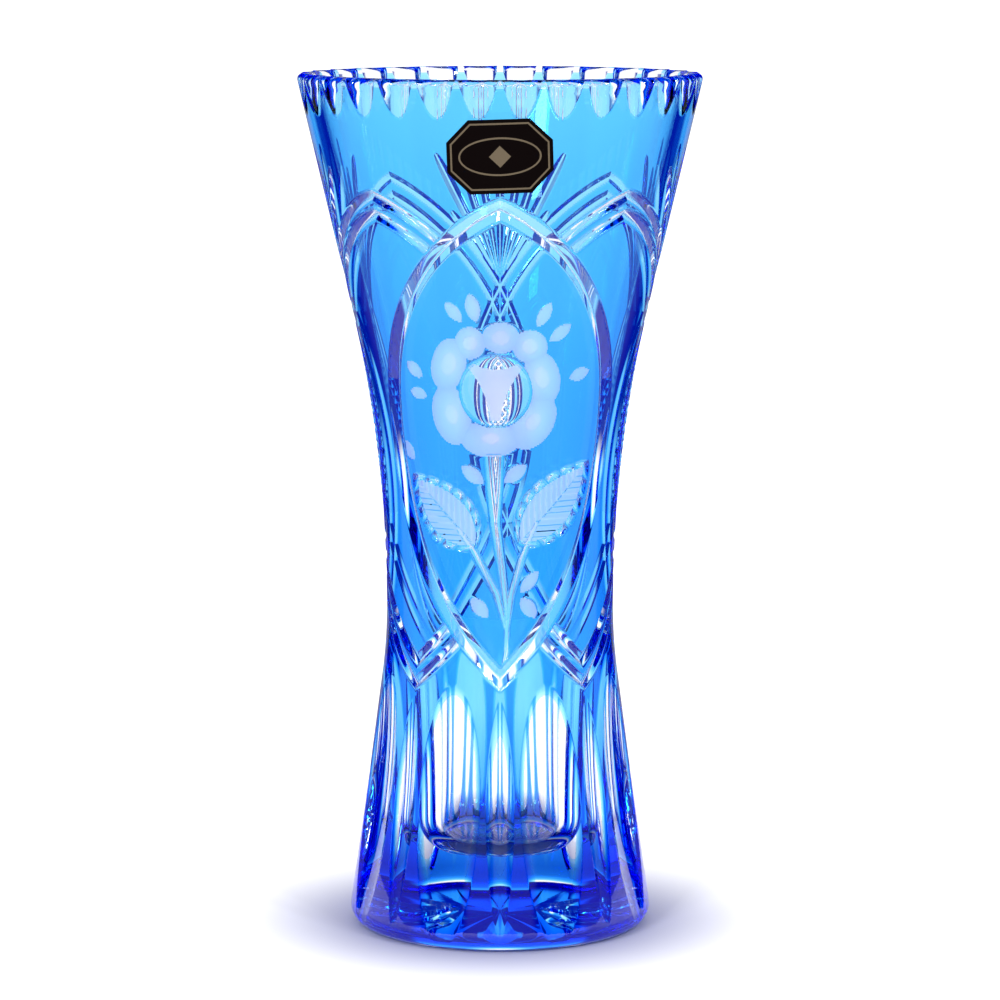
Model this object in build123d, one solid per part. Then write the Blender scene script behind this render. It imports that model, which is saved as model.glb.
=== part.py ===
"""Cut crystal vase: a thick clear crystal body cased in a thin skin of blue glass.

The cutting goes through the blue into the clear glass, so what is left of the casing is a
set of separate blue islands fused to the body. A foil label sits on the front of the vase.
Millimetres, +Z up, origin at the middle of the face the vase stands on, flower side to -Y.
"""
from build123d import *
import math
import os

# ---- driving dimensions -------------------------------------------------------------
HEIGHT = 250.0                # whole height
RIM_RADIUS = 59.0             # outer radius at the mouth, before the edge is rounded
WAIST_RADIUS = 33.2           # smallest outer radius
WAIST_Z = 95.0                # height of the waist
FOOT_RADIUS = 45.0            # outer radius at the floor, before the corner is rounded
UPPER_SLOPE = 0.235           # outward slope of the straight upper wall
LOWER_SLOPE = 0.140           # outward slope of the straight lower wall
FOOT_CORNER = 6.0             # rounding of the foot's outer corner
RIM_CORNER = 2.0              # rounding of the mouth's two edges

RIM_WALL = 5.2                # wall of the mouth
CAVITY_WAIST_RADIUS = 25.0    # inside radius at the waist
CAVITY_FLOOR_RADIUS = 22.0    # inside radius above the rounded inner floor
CAVITY_FLOOR_Z = 22.0         # thickness of the solid base
CAVITY_CORNER = 10.0          # rounding of the inner floor

CASING = 0.5                  # thickness of the blue skin
CASING_BOTTOM_Z = 1.6         # the foot is ground clear below this height
CASING_TOP_Z = HEIGHT - 2.0   # the mouth's edge is polished clear above this height
CUT_DEPTH = 1.3               # depth of the mitre cuts below the outer surface

RIM_FLUTES = 30               # scallops round the mouth
RIM_FLUTE_RADIUS = 8.0        # radius of the wheel's edge that cuts them
RIM_FLUTE_Z = 238.5           # height where a scallop starts

FOOT_FLUTE_STEP = 45.0        # one narrow and one wide flute in each step, degrees
WIDE_FLUTE = {"wheel": 315.0, "depth": 2.1, "half_width": 9.4, "middle_z": 38.5}
NARROW_FLUTE = {"wheel": 525.0, "depth": 1.0, "half_width": 3.9, "middle_z": 37.5}
WHEEL_PROUD = 30.0            # thickness of the part of the wheel's rim that matters
WHEEL_SPAN = 110.0            # and its length

OVAL_WIDE_Z = 160.0           # height where every pointed oval is widest
FLOWER_BORDER = {"half_width": 37.3, "top_z": 217.2, "bottom_z": 74.6}
FLOWER_OVAL = {"half_width": 31.6, "top_z": 210.4, "bottom_z": 82.0}
OUTER_OVAL = {"half_width": 41.2, "top_z": 218.4, "bottom_z": 74.2}
INNER_OVAL = {"half_width": 36.7, "top_z": 213.0, "bottom_z": 80.4}
BORDER_CUT = 2.6              # width of each of the two cuts round the other ovals
FLOWER_OVERLAP = 1.0          # those cuts end this far inside the flower's border
OVAL_CUTS_LOW_Z = 40.0        # every oval lies between these two heights
OVAL_CUTS_HIGH_Z = 240.0
OVAL_CENTRES = (45.0, 135.0, 225.0, 315.0)
OVAL_POINTS = 11              # places where an oval's side is worked out

RECESS_RADIUS = 37.0          # shallow hollow under the base
RECESS_DEPTH = 1.2
STAR_RAYS = 16                # rays of the star cut under the base
STAR_RADIUS = 34.0
STAR_DEPTH = 2.0              # depth of the star at its middle
STAR_ANGLE = 110.0            # angle of the V-shaped wheel edge that cuts it
STAR_GRIND = 6.0              # height of that V, more than the rays need

LABEL_Z = 228.8               # middle of the label
LABEL_WIDTH = 29.6
LABEL_HEIGHT = 20.8
LABEL_CORNER = 6.2            # corners cut off the label's rectangle
LABEL_TILT = 1.8              # the label is stuck on slightly crooked, degrees
LABEL_THICK = 0.2
PRINT_THICK = 0.1
PRINT_LINE = 0.5
PRINT_INSET = 1.0
RING_WIDE = 0.39              # half width of the printed ring as a part of the label's width
RING_HIGH = 0.26              # and its half height as a part of the label's height
LOZENGE_SIDE = 0.8            # side of the lozenge as a part of that half height

REACH = 90.0                  # further out than anything on the vase
SPARE = 5.0                   # how far a cutter goes past the glass it cuts

# ---- names for the islands of casing, by angle from the front -----------------------
CROSSINGS = {"crossing_right": 90.0, "crossing_rear": 180.0, "crossing_left": 270.0}
CROSSING_HALF_ANGLE = 14.0
FIELDS = {
    "flower_panel": 0.0,
    "side_field_right": 59.0,
    "rear_field_right": 135.0,
    "rear_field_left": 225.0,
    "side_field_left": 301.0,
}
BORDER_TOP_Z = 190.0          # border strips with their middle above this run to a top point
BORDER_BOTTOM_Z = 108.0       # and those with their middle below this to a bottom point


# ---- the outer wall -----------------------------------------------------------------
def upper_arc():
    """Radius and top height of the arc that joins the waist to the straight upper wall."""
    turn = math.atan(UPPER_SLOPE)
    rise = RIM_RADIUS - WAIST_RADIUS - UPPER_SLOPE * (HEIGHT - WAIST_Z)
    radius = rise / (1 - math.cos(turn) - UPPER_SLOPE * math.sin(turn))
    return radius, WAIST_Z + radius * math.sin(turn)


def lower_arc():
    """Radius and bottom height of the arc that joins the waist to the straight lower wall."""
    turn = math.atan(LOWER_SLOPE)
    rise = FOOT_RADIUS - WAIST_RADIUS - LOWER_SLOPE * WAIST_Z
    radius = rise / (1 - math.cos(turn) - LOWER_SLOPE * math.sin(turn))
    return radius, WAIST_Z - radius * math.sin(turn)


def wall_radius(z):
    """Outer radius at a height, with the mouth's and foot's edges left sharp."""
    high_radius, high_z = upper_arc()
    low_radius, low_z = lower_arc()
    if z > high_z:
        return RIM_RADIUS - UPPER_SLOPE * (HEIGHT - z)
    if z < low_z:
        return FOOT_RADIUS - LOWER_SLOPE * z
    bend = high_radius if z > WAIST_Z else low_radius
    return WAIST_RADIUS + bend - math.sqrt(bend ** 2 - (z - WAIST_Z) ** 2)


def wall_line(inset, bottom_z, top_z):
    """The wall's outline between two heights, moved in by inset."""
    high_z = upper_arc()[1]
    low_z = lower_arc()[1]

    def at(z):
        return (wall_radius(z) - inset, z)

    middle_low = (low_z + WAIST_Z) / 2
    middle_high = (high_z + WAIST_Z) / 2
    return (
        Line(at(bottom_z), at(low_z))
        + ThreePointArc(at(low_z), at(middle_low), at(WAIST_Z))
        + ThreePointArc(at(WAIST_Z), at(middle_high), at(high_z))
        + Line(at(high_z), at(top_z))
    )


def turned(outline):
    """A closed outline of (radius, height) turned round the vase's axis."""
    face = make_face(Plane.XZ * outline)
    return revolve(face, Axis.Z, 360)


def column(inset, bottom_z, top_z):
    """Everything inside the wall, moved in by inset, between two heights."""
    wall = wall_line(inset, bottom_z, top_z)
    foot = (wall_radius(bottom_z) - inset, bottom_z)
    rim = (wall_radius(top_z) - inset, top_z)
    axis = Polyline(rim, (0, top_z), (0, bottom_z), foot)
    return turned(wall + axis)


def blank():
    """The blown blank: outside, inside, rounded mouth and foot, no cuts."""
    outside = column(0.0, 0.0, HEIGHT)
    foot_edge = outside.edges().group_by(Axis.Z)[0]
    outside = fillet(foot_edge, FOOT_CORNER)
    rim_inside = RIM_RADIUS - RIM_WALL
    cavity_line = (
        Polyline((0, CAVITY_FLOOR_Z), (CAVITY_FLOOR_RADIUS - CAVITY_CORNER, CAVITY_FLOOR_Z))
        + RadiusArc(
            (CAVITY_FLOOR_RADIUS - CAVITY_CORNER, CAVITY_FLOOR_Z),
            (CAVITY_FLOOR_RADIUS, CAVITY_FLOOR_Z + CAVITY_CORNER),
            -CAVITY_CORNER,
        )
        + Spline(
            (CAVITY_FLOOR_RADIUS, CAVITY_FLOOR_Z + CAVITY_CORNER),
            (CAVITY_WAIST_RADIUS, WAIST_Z),
            (rim_inside - UPPER_SLOPE * HEIGHT / 4, HEIGHT * 3 / 4),
            (rim_inside, HEIGHT),
            tangents=[(0.0, 1.0), (UPPER_SLOPE, 1.0)],
        )
        + Polyline((rim_inside, HEIGHT), (0, HEIGHT), (0, CAVITY_FLOOR_Z))
    )
    vase = outside - turned(cavity_line)
    mouth_edges = vase.edges().group_by(Axis.Z)[-1]
    return fillet(mouth_edges, RIM_CORNER)


# ---- the wheel cuts -----------------------------------------------------------------
def rim_flutes():
    """Upright round cuts that start on the sloping wall and run out at the mouth."""
    centre = wall_radius(RIM_FLUTE_Z) + RIM_FLUTE_RADIUS
    length = HEIGHT - RIM_FLUTE_Z + 2 * SPARE
    middle_z = (HEIGHT + RIM_FLUTE_Z) / 2
    flute = Pos(centre, 0, middle_z) * Cylinder(RIM_FLUTE_RADIUS, length)
    step = 360 / RIM_FLUTES
    return [Rot(0, 0, step * (i + 0.5) - 90) * flute for i in range(RIM_FLUTES)]


def foot_flutes(wheel, depth, half_width, middle_z, first_angle):
    """Long flutes that taper to both ends, each cut by the flat edge of a large upright wheel."""
    disc = Pos(wheel - depth, 0, 0) * Rot(90, 0, 0) * Cylinder(wheel, 2 * half_width)
    rim_only = Box(WHEEL_PROUD, 3 * half_width, WHEEL_SPAN)
    lean = -math.degrees(math.atan(LOWER_SLOPE))
    cut = Pos(wall_radius(middle_z), 0, middle_z) * Rot(0, lean, 0) * (disc & rim_only)
    count = round(360 / FOOT_FLUTE_STEP)
    return [Rot(0, 0, first_angle + FOOT_FLUTE_STEP * i) * cut for i in range(count)]


def oval_edge(z, half_width, top_z, bottom_z, inset):
    """Distance round the wall from an oval's middle line to its side at a height.

    Unrolled, each side is two arcs that meet upright where the oval is widest.
    """
    rise = (top_z if z > OVAL_WIDE_Z else bottom_z) - OVAL_WIDE_Z
    bend = (half_width ** 2 + rise ** 2) / (2 * half_width)
    return half_width - bend + math.sqrt((bend - inset) ** 2 - (z - OVAL_WIDE_Z) ** 2)


def oval_tip(half_width, end_z, inset):
    """Height at which the two sides of an oval meet, moved in by inset."""
    rise = abs(end_z - OVAL_WIDE_Z)
    bend = (half_width ** 2 + rise ** 2) / (2 * half_width)
    reach = math.sqrt((bend - inset) ** 2 - (bend - half_width) ** 2)
    return OVAL_WIDE_Z + math.copysign(reach, end_z - OVAL_WIDE_Z)


def oval_prism(oval, inset=0.0):
    """An upright plate with an oval's outline, moved in by inset, reaching out to the front."""
    top = oval_tip(oval["half_width"], oval["top_z"], inset)
    bottom = oval_tip(oval["half_width"], oval["bottom_z"], inset)
    right = []
    for i in range(OVAL_POINTS):
        z = bottom + (top - bottom) * i / (OVAL_POINTS - 1)
        radius = wall_radius(z)
        side = max(oval_edge(z, **oval, inset=inset), 0.0)
        right.append((radius * math.sin(side / radius), z))
    left = [(-x, z) for x, z in reversed(right)]
    face = make_face(Plane.XZ * (Spline(*right) + Spline(*left)))
    return extrude(face, REACH, dir=(0, -1, 0))


def oval_cuts():
    """The wide cut round the flower and the two cuts round each of the other ovals."""
    shell = column(-SPARE, OVAL_CUTS_LOW_Z, OVAL_CUTS_HIGH_Z)
    shell -= column(CUT_DEPTH, OVAL_CUTS_LOW_Z - SPARE, OVAL_CUTS_HIGH_Z + SPARE)
    flower = (oval_prism(FLOWER_BORDER) - oval_prism(FLOWER_OVAL)) & shell
    outer = (oval_prism(OUTER_OVAL) - oval_prism(OUTER_OVAL, BORDER_CUT)) & shell
    inner = (oval_prism(INNER_OVAL) - oval_prism(INNER_OVAL, BORDER_CUT)) & shell
    panel = oval_prism(FLOWER_BORDER, FLOWER_OVERLAP)
    cuts = [flower]
    for angle in OVAL_CENTRES:
        for border in (outer, inner):
            cuts.append(Rot(0, 0, angle) * border - panel)
    return cuts


def base_star():
    """A shallow hollow with the rays of a star under the base."""
    hollow = Pos(0, 0, RECESS_DEPTH / 2) * Cylinder(RECESS_RADIUS, RECESS_DEPTH)
    half_width = STAR_GRIND * math.tan(math.radians(STAR_ANGLE / 2))
    corners = [(0, 0), (half_width, -STAR_GRIND), (-half_width, -STAR_GRIND), (0, 0)]
    section = make_face(Plane.XZ * Polyline(*corners))
    fall = math.degrees(math.atan(STAR_DEPTH / STAR_RADIUS))
    ray = extrude(section, STAR_RADIUS, dir=(0, -1, 0))
    ray = Pos(0, 0, RECESS_DEPTH + STAR_DEPTH) * Rot(fall, 0, 0) * ray
    return [hollow] + [Rot(0, 0, 360 / STAR_RAYS * i) * ray for i in range(STAR_RAYS)]


# ---- the label ----------------------------------------------------------------------
def label_sketch(inset):
    """The label's octagon, moved in by inset."""
    x = LABEL_WIDTH / 2 - inset
    z = LABEL_HEIGHT / 2 - inset
    cut = LABEL_CORNER - inset * (2 - math.sqrt(2))
    quarter = [(x, z - cut), (x - cut, z)]
    ring = quarter + [(-a, b) for a, b in reversed(quarter)]
    ring += [(-a, -b) for a, b in quarter] + [(a, -b) for a, b in reversed(quarter)]
    return make_face(Polyline(*ring, ring[0]))


def print_sketch():
    """Border line, oval ring and a small lozenge: a plain ornament."""
    border = label_sketch(PRINT_INSET) - label_sketch(PRINT_INSET + PRINT_LINE)
    long_half = LABEL_WIDTH * RING_WIDE
    short_half = LABEL_HEIGHT * RING_HIGH
    ring = Ellipse(long_half, short_half)
    ring -= Ellipse(long_half - PRINT_LINE, short_half - PRINT_LINE)
    side = short_half * LOZENGE_SIDE
    lozenge = Rot(0, 0, 45) * Rectangle(side, side)
    return [border, ring, lozenge]


def on_wall(sketch, inner, outer):
    """A flat sketch pressed on to the front of the wall, between two offsets from it."""
    shell = column(-outer, SPARE, HEIGHT) - column(-inner, 0.0, HEIGHT + SPARE)
    place = Plane((0, 0, LABEL_Z), x_dir=(1, 0, 0), z_dir=(0, -1, 0))
    return extrude(place * Rot(0, 0, LABEL_TILT) * sketch, REACH) & shell


# ---- the pieces of casing -----------------------------------------------------------
def region(solid):
    """The name of the part of the pattern that a separate piece of casing belongs to."""
    middle = solid.center()
    angle = (math.degrees(math.atan2(middle.Y, middle.X)) + 90) % 360
    if math.hypot(middle.X, middle.Y) < WAIST_RADIUS / 2:
        return "upper_band" if middle.Z > HEIGHT / 2 else "lower_band"
    if middle.Z > BORDER_TOP_Z:
        return "border_tops"
    if middle.Z < BORDER_BOTTOM_Z:
        return "border_tips"
    for name, centre in CROSSINGS.items():
        if abs(angle - centre) < CROSSING_HALF_ANGLE:
            return name
    return min(FIELDS, key=lambda name: abs((angle - FIELDS[name] + 180) % 360 - 180))


def skin_room():
    """The layer the casing fills: from its inner face to beyond the outer wall."""
    inside = column(CASING, CASING, HEIGHT)
    inside = fillet(inside.edges().group_by(Axis.Z)[0], FOOT_CORNER - CASING)
    return column(-1.0, CASING_BOTTOM_Z, CASING_TOP_Z) - inside


def build():
    """Every sub-part by name."""
    vase = blank()
    skin = skin_room()
    cuts = oval_cuts() + rim_flutes()
    cuts += foot_flutes(**WIDE_FLUTE, first_angle=FOOT_FLUTE_STEP / 2)
    cuts += foot_flutes(**NARROW_FLUTE, first_angle=0.0)

    groups = {}
    for solid in ((vase & skin) - cuts).solids():
        groups.setdefault("casing_" + region(solid), []).append(solid)
    parts = {name: Compound(children=solids) for name, solids in groups.items()}
    parts["crystal_body"] = vase - skin - cuts - base_star()
    parts["label_foil"] = on_wall(label_sketch(0.0), 0.0, LABEL_THICK)
    ink = []
    for sketch in print_sketch():
        ink += on_wall(sketch, LABEL_THICK, LABEL_THICK + PRINT_THICK).solids()
    parts["label_print"] = Compound(children=ink)
    return parts


if __name__ == "__main__":
    os.makedirs("parts", exist_ok=True)
    for part_name, part in build().items():
        export_step(part, f"parts/{part_name}.step")
        print(part_name, len(part.solids()), round(part.volume, 1))
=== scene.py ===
"""Cut crystal vase: the look in Blender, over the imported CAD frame.

The glass and its blue casing are height fields wrapped round the vase: every cut is a depth
below the turned wall at an angle round the vase and a height. Lengths here are millimetres
and become metres when a mesh is made. Angles run from the flower side (-Y) towards +X.
"""
import math
import bpy
import numpy as np
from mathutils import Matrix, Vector


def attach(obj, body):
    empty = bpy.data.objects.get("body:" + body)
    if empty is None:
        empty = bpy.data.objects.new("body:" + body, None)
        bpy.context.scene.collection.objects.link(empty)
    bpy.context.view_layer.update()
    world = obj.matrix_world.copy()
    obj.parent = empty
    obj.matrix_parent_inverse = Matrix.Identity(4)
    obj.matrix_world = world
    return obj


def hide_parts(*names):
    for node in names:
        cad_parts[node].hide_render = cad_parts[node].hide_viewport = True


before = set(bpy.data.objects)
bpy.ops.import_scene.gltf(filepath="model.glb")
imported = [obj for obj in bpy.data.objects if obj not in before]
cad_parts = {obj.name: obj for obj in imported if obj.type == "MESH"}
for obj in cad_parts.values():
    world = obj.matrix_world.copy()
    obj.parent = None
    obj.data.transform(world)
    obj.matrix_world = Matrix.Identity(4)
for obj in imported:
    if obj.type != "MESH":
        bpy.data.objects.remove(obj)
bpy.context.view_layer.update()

MM = 0.001

# ---- the turned shape ---------------------------------------------------------------
HEIGHT = 250.0
RIM_RADIUS, UPPER_SLOPE = 59.0, 0.235
WAIST_RADIUS, WAIST_Z = 33.2, 95.0
FOOT_RADIUS, LOWER_SLOPE = 45.0, 0.140
UPPER_BEND, UPPER_BEND_TOP = 390.03, 184.23
LOWER_BEND, LOWER_BEND_BOTTOM = 153.81, 73.67
FOOT_CORNER = 6.0
RIM_CORNER = 2.0
RIM_WALL = 5.2
CAVITY_FLOOR_Z, CAVITY_CORNER = 22.0, 10.0
CAVITY_FLOOR_RADIUS, CAVITY_WAIST_RADIUS = 22.0, 25.0
# heights, radii and slopes that the inside wall passes through, between the floor and the rim
CAVITY_KNOTS = (
    (CAVITY_FLOOR_Z + CAVITY_CORNER, CAVITY_FLOOR_RADIUS, 0.0),
    (WAIST_Z, CAVITY_WAIST_RADIUS, 0.1),
    (187.5, 39.1, 0.212),
    (HEIGHT, RIM_RADIUS - RIM_WALL, UPPER_SLOPE),
)
BASE_RECESS_Z = 1.2           # the hollow under the base
RECESS_EDGE = ((36.4, BASE_RECESS_Z), (37.0, 0.9), (37.6, 0.0), (38.6, 0.0))
STAR_RAYS, STAR_RADIUS, STAR_DEPTH = 16, 34.0, 2.0
STAR_RINGS = (3.0, 6.0, 9.0, 12.0, 15.0, 18.0, 21.0, 24.0, 27.0, 30.0, 32.0, 34.0)
STAR_MIDDLE_Z, STAR_MIDDLE_RADIUS = 3.4, 0.8
RAY_LAP, RAY_SPARE, RAY_LEAST = 1.05, 0.01, 0.3   # rays overlap a little; half width at the tip
CAVITY_STEP = 2.0             # height of one row of the inside wall
CAVITY_FLOOR_RINGS = (8.0, 4.0)

COLUMNS = 1440                # points round the vase
ROW_STEP = 0.4                # height of one row of the outer wall
SKIN_HEIGHTS = (0.0, 12.0, 70.0, 150.0, 200.0, 240.0)     # the blue thins towards the mouth
SKIN_DEPTHS = (1.10, 0.95, 0.36, 0.33, 0.25, 0.17)
CASING_LOW, CASING_HIGH = 1.8, 247.6
SKIN_GAP = 0.02               # the blue lies this far under the glass's own surface
SKIN_TAPER = 0.6              # height over which the blue thins to nothing at its two ends
NOTHING = 1e-6                # less than this is no thickness at all


def wall_radius(z):
    """Outer radius of the uncut wall at heights z."""
    z = np.asarray(z, float)
    up = RIM_RADIUS - UPPER_SLOPE * (HEIGHT - z)
    low = FOOT_RADIUS - LOWER_SLOPE * z
    rise = np.clip(z - WAIST_Z, 0.0, UPPER_BEND_TOP - WAIST_Z)
    fall = np.clip(WAIST_Z - z, 0.0, WAIST_Z - LOWER_BEND_BOTTOM)
    over = WAIST_RADIUS + UPPER_BEND - np.sqrt(UPPER_BEND**2 - rise**2)
    under = WAIST_RADIUS + LOWER_BEND - np.sqrt(LOWER_BEND**2 - fall**2)
    out = np.where(z >= WAIST_Z, over, under)
    out = np.where(z > UPPER_BEND_TOP, up, out)
    return np.where(z < LOWER_BEND_BOTTOM, low, out)


def cavity_radius(z):
    """Inside radius at heights z above the rounded inner floor."""
    z = np.asarray(z, float)
    out = np.full(z.shape, RIM_RADIUS - RIM_WALL)
    for (z0, r0, d0), (z1, r1, d1) in zip(CAVITY_KNOTS, CAVITY_KNOTS[1:]):
        t = np.clip((z - z0) / (z1 - z0), 0.0, 1.0)
        span = z1 - z0
        r = ((2 * t**3 - 3 * t**2 + 1) * r0 + (t**3 - 2 * t**2 + t) * span * d0
             + (3 * t**2 - 2 * t**3) * r1 + (t**3 - t**2) * span * d1)
        out = np.where((z >= z0) & (z <= z1), r, out)
    return out


# ---- the cuts -----------------------------------------------------------------------
OVAL_WIDE_Z = 160.0
OUTER_OVAL = (37.3, 217.2, 74.6)      # half width, top, bottom of the flower's border
FLOWER_OVAL = (31.6, 210.4, 82.0)
SIDE_OUTER = (39.9, 217.0, 75.5)      # middle lines of the two cuts round the other ovals
SIDE_INNER = (35.4, 211.6, 82.0)
SIDE_OVALS = (45, 135, 225, 315)      # where the other four ovals lie, degrees
CROSSINGS = (90, 180, 270)            # where two of them cross
BORDER_HALF = 1.75
BORDER_STEEP = 0.80
FLOWER_STEEP = 0.62
POINTED = 1.6                 # how sharp the ends of a leaf shape are


def wrap(angle):
    """An angle between minus half a turn and half a turn."""
    return (angle + math.pi) % (2 * math.pi) - math.pi


def oval_distance(s, z, oval):
    """Distance outside (+) or inside (-) of a pointed oval drawn with two arcs a side."""
    half, top, bottom = oval
    end = np.where(z >= OVAL_WIDE_Z, top - OVAL_WIDE_Z, OVAL_WIDE_Z - bottom)
    bend = (half**2 + end**2) / (2 * half)
    dz = np.abs(z - OVAL_WIDE_Z)
    inside = np.minimum(dz, end)
    root = np.sqrt(bend**2 - inside**2)
    steep = inside / root
    width = half - bend + root - (dz - inside) * steep
    return (np.abs(s) - width) / np.sqrt(1 + steep**2)


def groove(x, half, steep):
    """Depth of a V cut, x away from its bottom."""
    return np.maximum(0.0, (half - np.abs(x)) * steep)


def ray(s, z, start, end, half, steep, near=0.5, far=0.5):
    """A V cut between two places, pointed at both ends, bluntly where near or far is small."""
    ds, dz = end[0] - start[0], end[1] - start[1]
    length = math.hypot(ds, dz)
    along = ((s - start[0]) * ds + (z - start[1]) * dz) / length**2
    across = ((s - start[0]) * dz - (z - start[1]) * ds) / length
    t = np.clip(along, 0.0, 1.0)
    widest = near / (near + far)
    peak = widest**near * (1 - widest) ** far
    width = half * t**near * (1 - t) ** far / peak
    return np.where((along > 0) & (along < 1), groove(across, width, steep), 0.0)


def spindle(s, z, middle, half_width, half_length, tilt=0.0, pointed=False):
    """1 at the middle of a leaf or petal shape, 0 on its outline, below 0 outside."""
    c, k = math.cos(math.radians(tilt)), math.sin(math.radians(tilt))
    u = ((s - middle[0]) * c - (z - middle[1]) * k) / half_width
    v = ((s - middle[0]) * k + (z - middle[1]) * c) / half_length
    if pointed:
        return np.where(np.abs(v) < 1, np.abs(1 - v**2) ** POINTED - u**2, -1.0)
    return 1 - u**2 - v**2


# rim scallops
RIM_FLUTES, RIM_FLUTE_RADIUS, RIM_FLUTE_Z = 30, 8.0, 238.5
RIM_FLUTES_FROM_Z = 230.0
# foot flutes: half width, half length, middle height, depth
FOOT_FLUTE_STEP = math.pi / 4
WIDE_FLUTE = (9.6, 37.5, 38.7, 2.4)
NARROW_FLUTE = (4.1, 35.0, 38.0, 1.2)
# fans of rays over the upper crossings
FAN_FOOT_Z = 186.8
# lean from upright, length, half width of each ray
FAN = ((-39.0, 26.0, 1.6), (-30.5, 43.0, 1.9), (-20.5, 36.0, 1.6), (-11.0, 43.0, 1.6),
       (0.0, 38.0, 1.6), (11.0, 43.0, 1.6), (20.5, 36.0, 1.6), (30.5, 43.0, 1.9),
       (39.0, 26.0, 1.6))
FAN_STEEP = 0.85
FAN_BLUNT = (0.8, 0.35)       # how blunt a ray is at its foot and at its tip
FAN_REACH = 40.0              # how far round the wall a fan or a lattice spreads
HATCH_STEP, HATCH_HALF, HATCH_STEEP = 2.7, 1.2, 0.95
HATCH_LEAN = 0.62

# petals: middle, half width, half length, lean (degrees, clockwise)
PETALS = (
    ((0.2, 177.2), 5.5, 4.7, 0.0),
    ((-8.6, 175.6), 4.6, 4.9, -10.0),
    ((8.6, 174.6), 5.2, 5.0, 10.0),
    ((-15.0, 169.2), 5.4, 8.0, 12.0),
    ((-14.2, 154.6), 5.9, 9.0, -15.0),
    ((-2.7, 148.0), 8.8, 5.6, 0.0),
    ((9.6, 152.6), 6.1, 8.8, 35.0),
    ((12.2, 165.4), 5.5, 8.0, -12.0),
)
DISC = ((-1.3, 161.7), 10.5)          # the dished middle
DISH_DEPTH = 0.9
# the frosted cup in it: height of its foot, of the middle and rise of its lip, half widths
CUP_FOOT_Z, CUP_TOP_Z, CUP_LIP_Z = 152.9, 169.0, 168.2
CUP_LIP_RISE, CUP_LIP_HALF = 3.0, 8.2
CUP_FOOT_HALF, CUP_FLARE, CUP_BEND = 1.6, 6.8, 1.8
SMALL_LEAVES = (
    ((-13.4, 184.5), 1.9, 3.9, -40.0), ((-7.8, 185.8), 2.2, 4.4, -14.0),
    ((12.7, 183.7), 1.9, 4.2, 30.0), ((17.6, 178.3), 2.0, 4.2, 54.0),
    ((-26.1, 167.3), 2.0, 3.6, -50.0), ((-24.8, 160.4), 1.9, 3.2, -75.0),
    ((24.0, 166.0), 2.0, 3.8, 72.0), ((-28.9, 143.4), 1.8, 3.6, -35.0),
    ((-7.9, 137.4), 2.2, 4.2, -50.0), ((4.4, 137.8), 2.2, 4.2, 50.0),
    ((8.5, 106.2), 1.9, 4.2, 40.0), ((-5.9, 98.8), 2.2, 3.8, -40.0),
    ((8.2, 98.7), 2.2, 3.8, -35.0),
)
# places along each stalk with its half width there
STEM = ((-1.8, 143.5, 2.8), (-1.6, 133.0, 2.4), (-1.4, 123.3, 1.6), (0.4, 111.0, 1.3),
        (2.1, 96.8, 1.0), (1.8, 86.0, 0.8), (-0.1, 76.5, 0.5))
TWIGS = (((-12.5, 121.5, 0.7), (-7.6, 115.0, 1.2), (-1.0, 102.9, 1.2), (1.6, 93.0, 0.7)),
         ((11.0, 124.0, 0.7), (6.2, 113.0, 1.1), (3.3, 102.9, 1.1), (2.2, 93.0, 0.7)))
# big leaves: tip, foot, half width
LEAVES = (((-27.6, 136.6), (-6.6, 116.4), 8.6), ((28.2, 140.4), (5.2, 117.4), 8.8))
LEAF_TEETH = 7
LEAF_EDGE = 2.4               # width of the clear toothed edge
TOOTH_DEPTH, TOOTH_RISE = 0.75, 1.2
LEAF_DEPTH, VEIN_DEPTH, VEIN_STEP = 0.26, 0.10, 2.4
RIB_HALF, RIB_STEEP, RIB_BLUNT = 0.7, 0.7, 0.3
STALK_DEPTH = 0.55
PETAL_DEPTH, PETAL_HOLLOW = 0.34, 0.9
LEAFLET_DEPTH, LEAFLET_HOLLOW = 0.24, 0.6


def leaf(s, z, tip, foot, half):
    """(shape value, place along, place across) of a big leaf between its tip and its foot."""
    ds, dz = tip[0] - foot[0], tip[1] - foot[1]
    length = math.hypot(ds, dz)
    along = ((s - foot[0]) * ds + (z - foot[1]) * dz) / length**2
    across = ((s - foot[0]) * dz - (z - foot[1]) * ds) / length
    t = np.clip(along, 0.0, 1.0)
    width = half * np.sin(math.pi * t**0.8) ** 0.75
    value = np.where((along > 0) & (along < 1), width - np.abs(across), -1.0)
    return value, along, across


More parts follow.
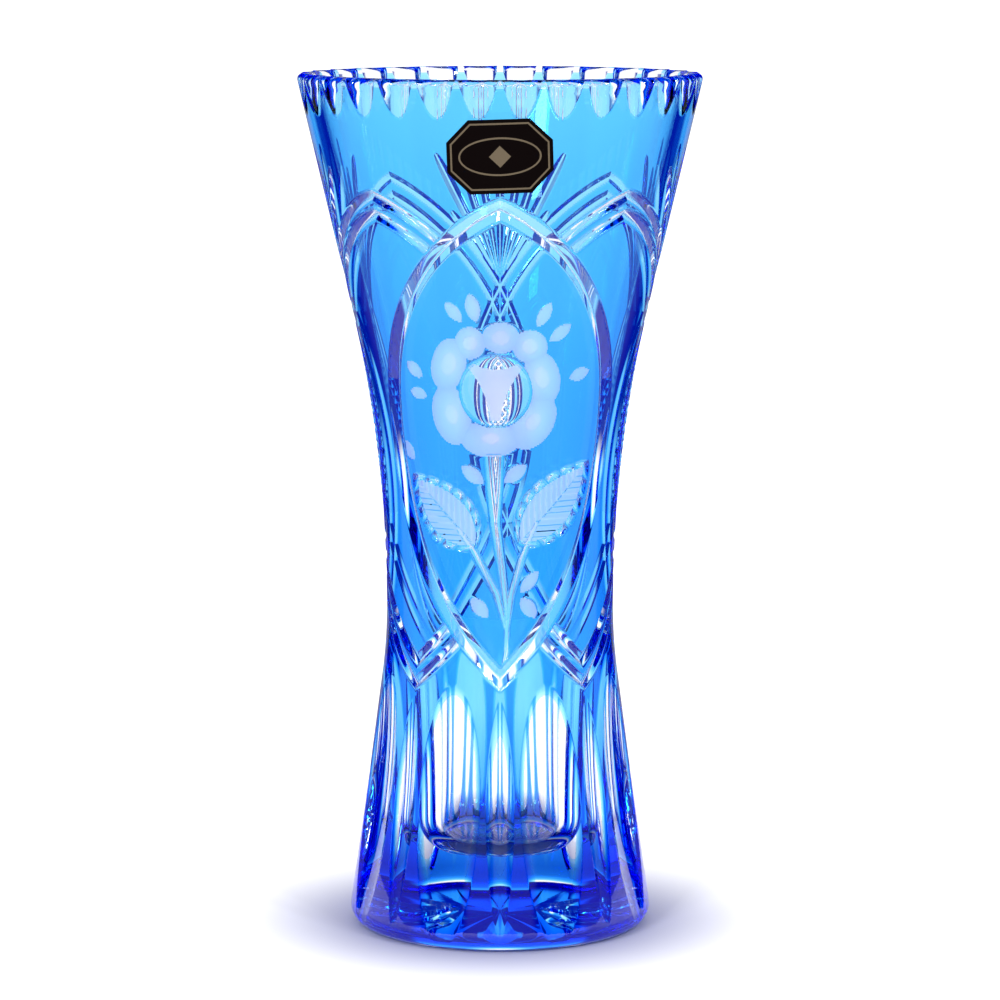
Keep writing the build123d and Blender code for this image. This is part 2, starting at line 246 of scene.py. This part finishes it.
def cuts(angle, z):
    """(depth of every cut in mm, how frosted the surface is) over a grid."""
    radius = wall_radius(z)
    depth = np.zeros(angle.shape)
    frost = np.zeros(angle.shape)
    s0 = wrap(angle) * radius
    out0 = oval_distance(s0, z, OUTER_OVAL)
    in0 = oval_distance(s0, z, FLOWER_OVAL)
    free = out0 > 0

    # the four ovals that cross at the sides and the back
    inner = []
    for turn in SIDE_OVALS:
        s = wrap(angle - math.radians(turn)) * radius
        for oval in (SIDE_OUTER, SIDE_INNER):
            cut = groove(oval_distance(s, z, oval), BORDER_HALF, BORDER_STEEP)
            depth = np.maximum(depth, np.where(free, cut, 0.0))
        inner.append(oval_distance(s, z, SIDE_INNER) < -BORDER_HALF)

    # fans and hatching at the three crossings that show them
    for first, turn in enumerate(CROSSINGS):
        s = wrap(angle - math.radians(turn)) * radius
        near = free & (np.abs(s) < FAN_REACH)
        for lean, length, half in FAN:
            a = math.radians(lean)
            start = (0.0, FAN_FOOT_Z)
            end = (length * math.sin(a), FAN_FOOT_Z + length * math.cos(a))
            cut = ray(s, z, start, end, half, FAN_STEEP, *FAN_BLUNT)
            depth = np.maximum(depth, np.where(near, cut, 0.0))
        lens = inner[first] & inner[first + 1] & near
        for way in (-1.0, 1.0):
            x = (s + way * HATCH_LEAN * z) / math.sqrt(1 + HATCH_LEAN**2)
            x = (x + HATCH_STEP / 2) % HATCH_STEP - HATCH_STEP / 2
            cut = groove(x, HATCH_HALF, HATCH_STEEP)
            depth = np.maximum(depth, np.where(lens, cut, 0.0))

    # the flower's deep border
    depth = np.maximum(depth, np.maximum(0.0, np.minimum(-out0, in0)) * FLOWER_STEEP)

    # the flower
    panel = in0 < 0
    for middle, wide, long, lean in PETALS:
        shape = np.clip(spindle(s0, z, middle, wide, long, lean), 0, 1)
        cut = PETAL_DEPTH * shape**PETAL_HOLLOW
        depth = np.maximum(depth, np.where(panel, cut, 0.0))
        frost = np.maximum(frost, np.where(panel & (shape > 0), 1.0, 0.0))
    for middle, wide, long, lean in SMALL_LEAVES:
        shape = np.clip(spindle(s0, z, middle, wide, long, lean, True), 0, 1)
        cut = LEAFLET_DEPTH * shape**LEAFLET_HOLLOW
        depth = np.maximum(depth, np.where(panel, cut, 0.0))
        frost = np.maximum(frost, np.where(panel & (shape > 0), 1.0, 0.0))
    aside = np.abs(s0 - DISC[0][0])
    away = np.hypot(s0 - DISC[0][0], z - DISC[0][1])
    disc = away < DISC[1]
    dish = DISH_DEPTH * np.clip(1 - (away / DISC[1]) ** 2, 0, 1) ** 0.5
    depth = np.where(disc, dish, depth)
    up = (z - CUP_FOOT_Z) / (CUP_TOP_Z - CUP_FOOT_Z)
    lip = CUP_LIP_Z + CUP_LIP_RISE * np.clip(aside / CUP_LIP_HALF, 0, 1) ** 2
    half = CUP_FOOT_HALF + CUP_FLARE * np.clip(up, 0, 1.2) ** CUP_BEND
    cup = disc & (z > CUP_FOOT_Z) & (z < lip) & (aside < half)
    frost = np.where(disc, np.where(cup, 1.0, 0.0), frost)
    for line in (STEM, *TWIGS):
        places = np.array(line)[::-1]
        middle = np.interp(z, places[:, 1], places[:, 0])
        half = np.interp(z, places[:, 1], places[:, 2])
        on = panel & ~disc & (z > places[0, 1]) & (z < places[-1, 1])
        cut = STALK_DEPTH * np.clip(1 - ((s0 - middle) / half) ** 2, 0, 1) ** 0.5
        depth = np.where(on, np.maximum(depth, cut), depth)
    for tip, foot, half in LEAVES:
        value, along, across = leaf(s0, z, tip, foot, half)
        inside = panel & (value > 0)
        teeth = np.abs(np.sin(along * math.pi * LEAF_TEETH))
        edge = inside & (value < LEAF_EDGE)
        cut = TOOTH_DEPTH * np.clip(value / TOOTH_RISE, 0, 1) * teeth
        depth = np.where(edge, np.maximum(depth, cut), depth)
        middle = inside & (value >= LEAF_EDGE)
        length = math.hypot(tip[0] - foot[0], tip[1] - foot[1])
        veins = np.cos(2 * math.pi * (along * length - np.abs(across)) / VEIN_STEP)
        cut = LEAF_DEPTH + VEIN_DEPTH * veins
        depth = np.where(middle, np.maximum(depth, cut), depth)
        frost = np.where(middle, 1.0, frost)
        rib = ray(s0, z, foot, tip, RIB_HALF, RIB_STEEP, RIB_BLUNT)
        depth = np.where(inside, np.maximum(depth, rib), depth)

    # rim scallops
    step = 2 * math.pi / RIM_FLUTES
    phi = (angle % step) - step / 2
    middle = float(wall_radius(RIM_FLUTE_Z)) + RIM_FLUTE_RADIUS
    side = RIM_FLUTE_RADIUS**2 - (middle * np.sin(phi)) ** 2
    cut = radius - (middle * np.cos(phi) - np.sqrt(np.maximum(side, 0.0)))
    depth = np.maximum(depth, np.where((side > 0) & (z > RIM_FLUTES_FROM_Z), cut, 0.0))

    # foot flutes
    step = FOOT_FLUTE_STEP
    for flute, offset, pointed in ((WIDE_FLUTE, step / 2, False), (NARROW_FLUTE, 0.0, True)):
        half_width, half_length, middle_z, deep = flute
        phi = (angle - offset + step / 2) % step - step / 2
        middle = (0.0, middle_z)
        shape = spindle(phi * radius, z, middle, half_width, half_length, 0.0, pointed)
        depth = np.maximum(depth, deep * np.clip(shape, 0.0, 1.0))
    return depth, frost


# ---- meshes -------------------------------------------------------------------------
def new_mesh(name, points, quads, tris=None):
    """A smooth-shaded mesh from numpy arrays, points in mm."""
    mesh = bpy.data.meshes.new(name)
    tris = np.zeros((0, 3), int) if tris is None else tris
    loops = np.concatenate([quads.ravel(), tris.ravel()]).astype(np.int32)
    count = len(quads) + len(tris)
    sizes = np.concatenate([np.full(len(quads), 4), np.full(len(tris), 3)])
    mesh.vertices.add(len(points))
    mesh.vertices.foreach_set("co", (points * MM).astype(np.float32).ravel())
    mesh.loops.add(len(loops))
    mesh.loops.foreach_set("vertex_index", loops)
    mesh.polygons.add(count)
    starts = np.concatenate([[0], np.cumsum(sizes)[:-1]]).astype(np.int32)
    mesh.polygons.foreach_set("loop_start", starts)
    mesh.polygons.foreach_set("use_smooth", np.ones(count, bool))
    mesh.update(calc_edges=True)
    mesh.validate()
    ob = bpy.data.objects.new(name, mesh)
    bpy.context.scene.collection.objects.link(ob)
    return ob


def around(radius, z, angle):
    """Points from radius, height and angle arrays of one shape."""
    points = np.stack([radius * np.sin(angle), -radius * np.cos(angle), z], axis=-1)
    return points.reshape(-1, 3)


def ring(radius, z):
    """One row of the grid: radii and heights all round, from plain numbers or arrays."""
    shape = (1, COLUMNS)
    return np.broadcast_to(radius, shape), np.broadcast_to(z, shape)


def corner_in(z):
    """How far the foot's and the rim's rounded corners lie inside the straight wall."""
    low = np.clip(FOOT_CORNER - z, 0.0, FOOT_CORNER)
    high = np.clip(z - (HEIGHT - RIM_CORNER), 0.0, RIM_CORNER)
    return (FOOT_CORNER - np.sqrt(FOOT_CORNER**2 - low**2)
            + RIM_CORNER - np.sqrt(RIM_CORNER**2 - high**2))


angles = np.arange(COLUMNS) * 2 * math.pi / COLUMNS
foot_rows = FOOT_CORNER * (1 - np.cos(np.linspace(0.12, math.pi / 2, 12)))
rim_rows = HEIGHT - RIM_CORNER * (1 - np.sin(np.linspace(0.0, math.pi / 2, 7)[:-1]))
side_rows = np.arange(FOOT_CORNER + ROW_STEP, HEIGHT - RIM_CORNER - ROW_STEP / 2, ROW_STEP)
outer_z = np.concatenate([foot_rows, side_rows, rim_rows])
A, Z = np.meshgrid(angles, outer_z)
DEPTH, FROST = cuts(A, Z)
WALL = wall_radius(Z) - corner_in(Z)
SKIN = np.interp(Z, SKIN_HEIGHTS, SKIN_DEPTHS)
OUTER = WALL - DEPTH


def crystal():
    """The whole glass body as one closed mesh: outside, rim, cavity, base with its star."""
    # base, from its middle out to the foot's ring
    rows = [ring(STAR_MIDDLE_RADIUS, BASE_RECESS_Z + STAR_DEPTH)]
    step = 2 * math.pi / STAR_RAYS
    for r in STAR_RINGS:
        left = 1 - r / STAR_RADIUS
        half = STAR_RADIUS * math.sin(step / 2) * left * RAY_LAP + RAY_SPARE
        off = r * np.abs((angles + step / 2) % step - step / 2)
        cut = STAR_DEPTH * left * np.clip(1 - off / max(half, RAY_LEAST), 0, 1)
        rows.append(ring(r, BASE_RECESS_Z + cut))
    rows += [ring(r, z) for r, z in RECESS_EDGE]
    base_rows = len(rows)
    # the cut outside, then over the rim
    rows.append((OUTER, Z))
    last = OUTER[-1]
    inside_edge = RIM_RADIUS - RIM_WALL + RIM_CORNER
    for part in (0.0, 0.5, 1.0):
        r = last * (1 - part) + inside_edge * part
        rows.append(ring(np.minimum(r, last), HEIGHT))
    for turn in np.linspace(0.2, 1.0, 5) * math.pi / 2:
        rows.append(ring(inside_edge - RIM_CORNER * math.sin(turn),
                         HEIGHT - RIM_CORNER * (1 - math.cos(turn))))
    # down the cavity and across its floor
    z_in = np.arange(HEIGHT - RIM_CORNER - CAVITY_STEP, CAVITY_KNOTS[0][0], -CAVITY_STEP)
    rows += [ring(r, z) for z, r in zip(z_in, cavity_radius(z_in))]
    for turn in np.linspace(0.0, 1.0, 10) * math.pi / 2:
        rows.append(ring(CAVITY_FLOOR_RADIUS - CAVITY_CORNER * (1 - math.cos(turn)),
                         CAVITY_FLOOR_Z + CAVITY_CORNER * (1 - math.sin(turn))))
    rows += [ring(r, CAVITY_FLOOR_Z) for r in CAVITY_FLOOR_RINGS]
    R = np.concatenate([r for r, z in rows])
    H = np.concatenate([z for r, z in rows])
    points = around(R, H, np.broadcast_to(angles, R.shape))
    grid = np.arange(len(points)).reshape(R.shape)
    below, above = grid[:-1], grid[1:]
    quads = np.stack([below, np.roll(below, -1, 1), np.roll(above, -1, 1), above], -1)
    quads = quads.reshape(-1, 4)
    n = len(points)
    points = np.concatenate([points, [[0, 0, STAR_MIDDLE_Z], [0, 0, CAVITY_FLOOR_Z]]])
    first, last_ring = grid[0], grid[-1]
    tris = np.concatenate([
        np.stack([np.full(COLUMNS, n), np.roll(first, -1), first], 1),
        np.stack([last_ring, np.roll(last_ring, -1), np.full(COLUMNS, n + 1)], 1)])
    ob = new_mesh("crystal_glass", points, quads, tris)
    matt = np.zeros(R.shape, bool)
    matt[base_rows:base_rows + len(Z)] = FROST > 0.5
    matt &= np.roll(matt, -1, 1)
    faces = matt[:-1] & matt[1:]
    index = np.concatenate([faces.ravel(), np.zeros(len(tris), bool)]).astype(np.int32)
    return ob, index


# each blue piece and the CAD node it replaces
PIECES = (
    ("blue_upper_band", "casing_upper_band"),
    ("blue_lower_band", "casing_lower_band"),
    ("blue_border_tops", "casing_border_tops"),
    ("blue_border_tips", "casing_border_tips"),
    (None, None),
    ("blue_side_field_right", "casing_side_field_right"),
    ("blue_rear_field_right", "casing_rear_field_right"),
    ("blue_rear_field_left", "casing_rear_field_left"),
    ("blue_side_field_left", "casing_side_field_left"),
    ("blue_crossing_right", "casing_crossing_right"),
    ("blue_crossing_rear", "casing_crossing_rear"),
    ("blue_crossing_left", "casing_crossing_left"),
    ("blue_flower_panel", "casing_flower_panel"),
)
UPPER_BAND, LOWER_BAND, BORDER_TOPS, BORDER_TIPS, NO_PIECE, FIRST_FIELD = range(6)
FIRST_CROSSING, FLOWER_PANEL = 9, 12
BORDER_TOP_Z, BORDER_BOTTOM_Z = 178.0, 108.0


def split_names():
    """Number in PIECES of the casing piece that each cell of the grid belongs to."""
    radius = wall_radius(Z)
    names = np.where(Z < OVAL_WIDE_Z, LOWER_BAND, UPPER_BAND)
    rings = []
    for turn in SIDE_OVALS:
        s = wrap(A - math.radians(turn)) * radius
        rings.append((oval_distance(s, Z, SIDE_OUTER) < 0,
                      oval_distance(s, Z, SIDE_INNER) < 0))
    # borders lie in an outer oval, fields in an inner one, crossings in two outer ones
    border = np.any([outer for outer, inner in rings], axis=0)
    names[border] = NO_PIECE
    names[border & (Z >= BORDER_TOP_Z)] = BORDER_TOPS
    names[border & (Z <= BORDER_BOTTOM_Z)] = BORDER_TIPS
    for number, (outer, inner) in enumerate(rings):
        names[inner] = FIRST_FIELD + number
    for number in range(len(CROSSINGS)):
        names[rings[number][0] & rings[number + 1][0]] = FIRST_CROSSING + number
    flower = oval_distance(wrap(A) * radius, Z, OUTER_OVAL) < -BORDER_HALF
    names[flower] = FLOWER_PANEL
    return names


def casing(names):
    """The blue skins: closed shells, one object for each island or set of islands."""
    keep_rows = (outer_z >= CASING_LOW) & (outer_z <= CASING_HIGH)
    inner = WALL - SKIN
    outer = OUTER - SKIN_GAP
    thick = np.maximum(outer - inner, 0.0)
    thick[~keep_rows] = 0.0
    # ends of the skin are thinned to nothing
    edge = np.minimum(np.abs(outer_z - CASING_LOW), np.abs(CASING_HIGH - outer_z))
    thick *= np.clip(edge / SKIN_TAPER, 0, 1)[:, None]
    flat = thick.ravel()
    solid = thick > NOTHING
    solid |= np.roll(solid, -1, 1)
    cell = solid[:-1] | solid[1:]
    owner = names[:-1]
    out = []
    top = around(inner + thick, Z, A)
    low = around(inner, Z, A)
    grid = np.arange(A.size).reshape(A.shape)
    for number, (piece, node) in enumerate(PIECES):
        if piece is None:
            continue
        mine = cell & (owner == number)
        rows, cols = np.nonzero(mine)
        right = (cols + 1) % COLUMNS
        corners = np.stack([grid[rows, cols], grid[rows, right], grid[rows + 1, right],
                            grid[rows + 1, cols]], 1)
        used = np.unique(corners)
        where_top = np.full(A.size, -1)
        where_low = np.full(A.size, -1)
        where_top[used] = np.arange(len(used))
        double = used[flat[used] > NOTHING]
        where_low[used] = where_top[used]
        where_low[double] = len(used) + np.arange(len(double))
        points = np.concatenate([top[used], low[double]])
        outside = where_top[corners]
        inside = where_low[corners][:, ::-1]
        faces = [outside, inside]
        # walls where this piece meets another one at full thickness
        for a, b, dr, dc in ((0, 1, -1, 0), (1, 2, 0, 1), (2, 3, 1, 0), (3, 0, 0, -1)):
            nr = np.clip(rows + dr, 0, mine.shape[0] - 1)
            nc = (cols + dc) % COLUMNS
            bare = ~mine[nr, nc] | (nr == rows if dr else False)
            e = corners[bare]
            e = e[(flat[e[:, a]] > NOTHING) | (flat[e[:, b]] > NOTHING)]
            faces.append(np.stack([where_low[e[:, a]], where_low[e[:, b]],
                                   where_top[e[:, b]], where_top[e[:, a]]], 1))
        quads = np.concatenate(faces)
        # where the skin has no thickness two corners are one point, so the face is a triangle
        same = (quads == np.roll(quads, -1, 1)).sum(1)
        whole = quads[same == 0]
        part = quads[same == 1]
        k = np.argmax(part == np.roll(part, -1, 1), axis=1)
        order = (k[:, None] + np.arange(1, 4)) % 4
        tris = np.take_along_axis(part, order, axis=1)
        out.append((new_mesh(piece, points, whole, tris), node))
    return out


# ---- materials ----------------------------------------------------------------------
def material(name):
    """(material, its nodes, its links, its Principled shader, its output)"""
    m = bpy.data.materials.new(name)
    m.use_nodes = True
    nodes = m.node_tree.nodes
    nodes.clear()
    out = nodes.new("ShaderNodeOutputMaterial")
    shader = nodes.new("ShaderNodeBsdfPrincipled")
    m.node_tree.links.new(shader.outputs["BSDF"], out.inputs["Surface"])
    return m, nodes, m.node_tree.links, shader, out


def by_edge(nodes, links, shader, face_on, edge_on, blend=0.35):
    """Base colour that turns from one tint face-on to another at the glass's edges."""
    facing = nodes.new("ShaderNodeLayerWeight")
    facing.inputs["Blend"].default_value = blend
    mix = nodes.new("ShaderNodeMix")
    mix.data_type = "RGBA"
    mix.inputs["A"].default_value = (*face_on, 1)
    mix.inputs["B"].default_value = (*edge_on, 1)
    links.new(facing.outputs["Facing"], mix.inputs["Factor"])
    links.new(mix.outputs["Result"], shader.inputs["Base Color"])


def speckled(nodes, links, scale, low, high):
    """A colour that varies finely between two tints."""
    noise = nodes.new("ShaderNodeTexNoise")
    noise.inputs["Scale"].default_value = scale
    ramp = nodes.new("ShaderNodeValToRGB")
    ramp.color_ramp.elements[0].color = (*low, 1)
    ramp.color_ramp.elements[1].color = (*high, 1)
    links.new(noise.outputs["Fac"], ramp.inputs["Fac"])
    return ramp.outputs["Color"]


def glass_material(name, rough, face_on, edge_on, ior=1.54):
    m, nodes, links, shader, out = material(name)
    by_edge(nodes, links, shader, face_on, edge_on)
    shader.inputs["Transmission Weight"].default_value = 1.0
    shader.inputs["Roughness"].default_value = rough
    shader.inputs["IOR"].default_value = ior
    return m, nodes, links, shader, out


clear = glass_material("clear_lead_crystal", 0.0, (1.0, 1.0, 1.0), (0.985, 0.99, 1.0))[0]
frosted, nodes, links, shader, out = glass_material(
    "wheel_frosted_crystal", 0.42, (0.90, 0.86, 1.0), (0.80, 0.80, 1.0))
shader.inputs["Transmission Weight"].default_value = 0.84
blue, nodes, links, shader, out = glass_material(
    "blue_casing_glass", 0.0, (0.54, 0.93, 1.0), (0.30, 0.62, 1.0), 1.0)
soak = nodes.new("ShaderNodeVolumeAbsorption")
soak.inputs["Color"].default_value = (0.0, 0.62, 0.994, 1)
soak.inputs["Density"].default_value = 3600.0
links.new(soak.outputs["Volume"], out.inputs["Volume"])

# ---- the vase -----------------------------------------------------------------------
glass, frost_index = crystal()
glass.data.materials.append(clear)
glass.data.materials.append(frosted)
glass.data.polygons.foreach_set("material_index", frost_index)
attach(glass, "root")
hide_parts("crystal_body")

for ob, node in casing(split_names()):
    ob.data.materials.append(blue)
    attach(ob, "root")
    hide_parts(node)

# ---- label --------------------------------------------------------------------------
foil, nodes, links, shader, out = material("label_dark_foil")
tint = speckled(nodes, links, 900.0, (0.0016, 0.0006, 0.0006), (0.0034, 0.0014, 0.0014))
links.new(tint, shader.inputs["Base Color"])
shader.inputs["Roughness"].default_value = 0.5
shader.inputs["Specular IOR Level"].default_value = 0.03

gold, nodes, links, shader, out = material("label_gold_print")
tint = speckled(nodes, links, 1200.0, (0.10, 0.075, 0.045), (0.22, 0.17, 0.11))
links.new(tint, shader.inputs["Base Color"])
shader.inputs["Metallic"].default_value = 0.5
shader.inputs["Roughness"].default_value = 0.4

for node, look in (("label_foil", foil), ("label_print", gold)):
    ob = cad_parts[node]
    ob.data.materials.clear()
    ob.data.materials.append(look)

# ---- floor, light and camera --------------------------------------------------------
FLOOR_RADIUS = 0.28           # small, so that the flared wall does not mirror it
# painted shadow: a pale lilac shade painted into the floor's colour evenly round the foot,
# fading to white paper
PAINTED_SHADOW, PAINTED_SHADOW_RADIUS, PAINTED_SHADOW_END = (0.30, 0.31, 0.48, 1), 0.030, 0.095
bpy.ops.mesh.primitive_circle_add(vertices=128, radius=FLOOR_RADIUS, fill_type="NGON")
floor = bpy.context.object
floor.name = "studio_floor"
# the paper's colour carries the painted lilac shadow round the foot
paper, nodes, links, shader, out = material("pale_paper_painted_shadow")
pale = speckled(nodes, links, 3.0, (0.96, 0.96, 0.975), (0.98, 0.98, 0.99))
place = nodes.new("ShaderNodeTexCoord")
away = nodes.new("ShaderNodeVectorMath")
away.operation = "LENGTH"
links.new(place.outputs["Object"], away.inputs[0])
shadow_fade = nodes.new("ShaderNodeMapRange")
shadow_fade.interpolation_type = "SMOOTHSTEP"
shadow_fade.inputs["From Min"].default_value = PAINTED_SHADOW_RADIUS
shadow_fade.inputs["From Max"].default_value = PAINTED_SHADOW_END
links.new(away.outputs["Value"], shadow_fade.inputs["Value"])
# painted shadow: the paper's colour turns to lilac near the foot
tint = nodes.new("ShaderNodeMix")
tint.data_type = "RGBA"
tint.inputs["A"].default_value = PAINTED_SHADOW
links.new(shadow_fade.outputs["Result"], tint.inputs["Factor"])
links.new(pale, tint.inputs["B"])
links.new(tint.outputs["Result"], shader.inputs["Base Color"])
shader.inputs["Roughness"].default_value = 0.6
floor.data.materials.append(paper)

scene = bpy.context.scene
world = bpy.data.worlds.new("white_studio")
world.use_nodes = True
nodes, links = world.node_tree.nodes, world.node_tree.links
nodes.clear()
# Glass sees white cards all round, up to BRIGHT_TO, with dark blue gaps between them, a dark
# blue ceiling and a white table, so that its facets read. The eye and matt surfaces see plain
# white everywhere.
BRIGHT_TO, DARK_FROM = 0.30, 0.50      # sine of the elevation
WHITE_BELOW, DARK_ABOVE = -0.34, -0.24    # steeply down the glass sees white, as from a table
CARDS = 4
GAP_EDGE, CARD_EDGE = 0.36, 0.50
CARD_LEVEL = 1.25
ROOM_LEVEL = 1.30
DARK = (0.003, 0.024, 0.40, 1)
MIRRORED = 0.25                        # how much of this the glass's own surface reflects


def math_node(operation, *values):
    """The result of a Math node fed with numbers or sockets."""
    node = nodes.new("ShaderNodeMath")
    node.operation = operation
    for socket, value in zip(node.inputs, values):
        if isinstance(value, (int, float)):
            socket.default_value = value
        else:
            links.new(value, socket)
    return node.outputs["Value"]


def ramp_node(value, low, high, at_low, at_high):
    """A smooth change from one number to another as a value goes from low to high."""
    node = nodes.new("ShaderNodeMapRange")
    node.interpolation_type = "SMOOTHSTEP"
    sockets = ("From Min", "From Max", "To Min", "To Max")
    for name, number in zip(sockets, (low, high, at_low, at_high)):
        node.inputs[name].default_value = number
    links.new(value, node.inputs["Value"])
    return node.outputs["Result"]


where = nodes.new("ShaderNodeTexCoord")
split = nodes.new("ShaderNodeSeparateXYZ")
links.new(where.outputs["Generated"], split.inputs["Vector"])
turn = math_node("ARCTAN2", split.outputs["X"], split.outputs["Y"])
turn = math_node("FRACT", math_node("MULTIPLY", turn, CARDS / (2 * math.pi)))
card = math_node("ABSOLUTE", math_node("SUBTRACT", turn, 0.5))
card = ramp_node(math_node("MULTIPLY", card, 2.0), GAP_EDGE, CARD_EDGE, 0.0, 1.0)
wall = ramp_node(split.outputs["Z"], BRIGHT_TO, DARK_FROM, 1.0, 0.0)
table = ramp_node(split.outputs["Z"], WHITE_BELOW, DARK_ABOVE, 1.0, 0.0)
lit = math_node("MAXIMUM", math_node("MULTIPLY", wall, card), table)
path = nodes.new("ShaderNodeLightPath")
plain = math_node("MAXIMUM", path.outputs["Is Camera Ray"], path.outputs["Is Diffuse Ray"])
glass_view = nodes.new("ShaderNodeMix")
glass_view.data_type = "RGBA"
glass_view.inputs["A"].default_value = DARK
glass_view.inputs["B"].default_value = (CARD_LEVEL, CARD_LEVEL, CARD_LEVEL, 1)
links.new(lit, glass_view.inputs["Factor"])
dimmed = nodes.new("ShaderNodeVectorMath")
dimmed.operation = "SCALE"
links.new(glass_view.outputs["Result"], dimmed.inputs["Vector"])
mirrored = ramp_node(path.outputs["Is Reflection Ray"], 0.0, 1.0, 1.0, MIRRORED)
links.new(mirrored, dimmed.inputs["Scale"])
choose = nodes.new("ShaderNodeMix")
choose.data_type = "RGBA"
choose.inputs["B"].default_value = (ROOM_LEVEL, ROOM_LEVEL, ROOM_LEVEL, 1)
links.new(plain, choose.inputs["Factor"])
links.new(dimmed.outputs["Vector"], choose.inputs["A"])
back = nodes.new("ShaderNodeBackground")
end = nodes.new("ShaderNodeOutputWorld")
links.new(choose.outputs["Result"], back.inputs["Color"])
links.new(back.outputs["Background"], end.inputs["Surface"])
world.cycles.sampling_method = "NONE"
scene.world = world


def area(name, place, size, power):
    """A rectangular light aimed at the middle of the vase."""
    light = bpy.data.lights.new(name, "AREA")
    light.shape = "RECTANGLE"
    light.size, light.size_y = size
    light.energy = power
    ob = bpy.data.objects.new(name, light)
    ob.location = place
    ob.rotation_euler = (AIM - Vector(place)).to_track_quat("-Z", "Y").to_euler()
    scene.collection.objects.link(ob)


AIM = Vector((0, 0, 0.13))
area("softbox_left", (-0.75, -1.3, 0.95), (0.22, 0.35), 9.0)
area("softbox_right", (0.9, -1.0, 1.1), (0.18, 0.3), 5.0)
area("spark_left", (-0.45, -1.1, 0.75), (0.05, 0.05), 3.0)
area("spark_right", (0.55, -0.9, 0.9), (0.05, 0.05), 2.0)

CAMERA_PLACE, CAMERA_DOWN, CAMERA_LENS = (0.0, -1.2, 0.294), 8.0, 148.93
camera = bpy.data.cameras.new("camera")
camera.sensor_width = 36.0
camera.lens = CAMERA_LENS
camera.clip_start, camera.clip_end = 0.05, 50.0
eye = bpy.data.objects.new("camera", camera)
eye.location = CAMERA_PLACE
eye.rotation_euler = (math.radians(90 - CAMERA_DOWN), 0.0, 0.0)
scene.collection.objects.link(eye)
scene.camera = eye

scene.view_settings.view_transform = "Standard"
scene.cycles.max_bounces = 48
scene.cycles.transmission_bounces = 48
scene.cycles.transparent_max_bounces = 32
scene.cycles.glossy_bounces = 12
scene.cycles.diffuse_bounces = 3
scene.cycles.caustics_reflective = True
scene.cycles.caustics_refractive = True
scene.cycles.use_denoising = True
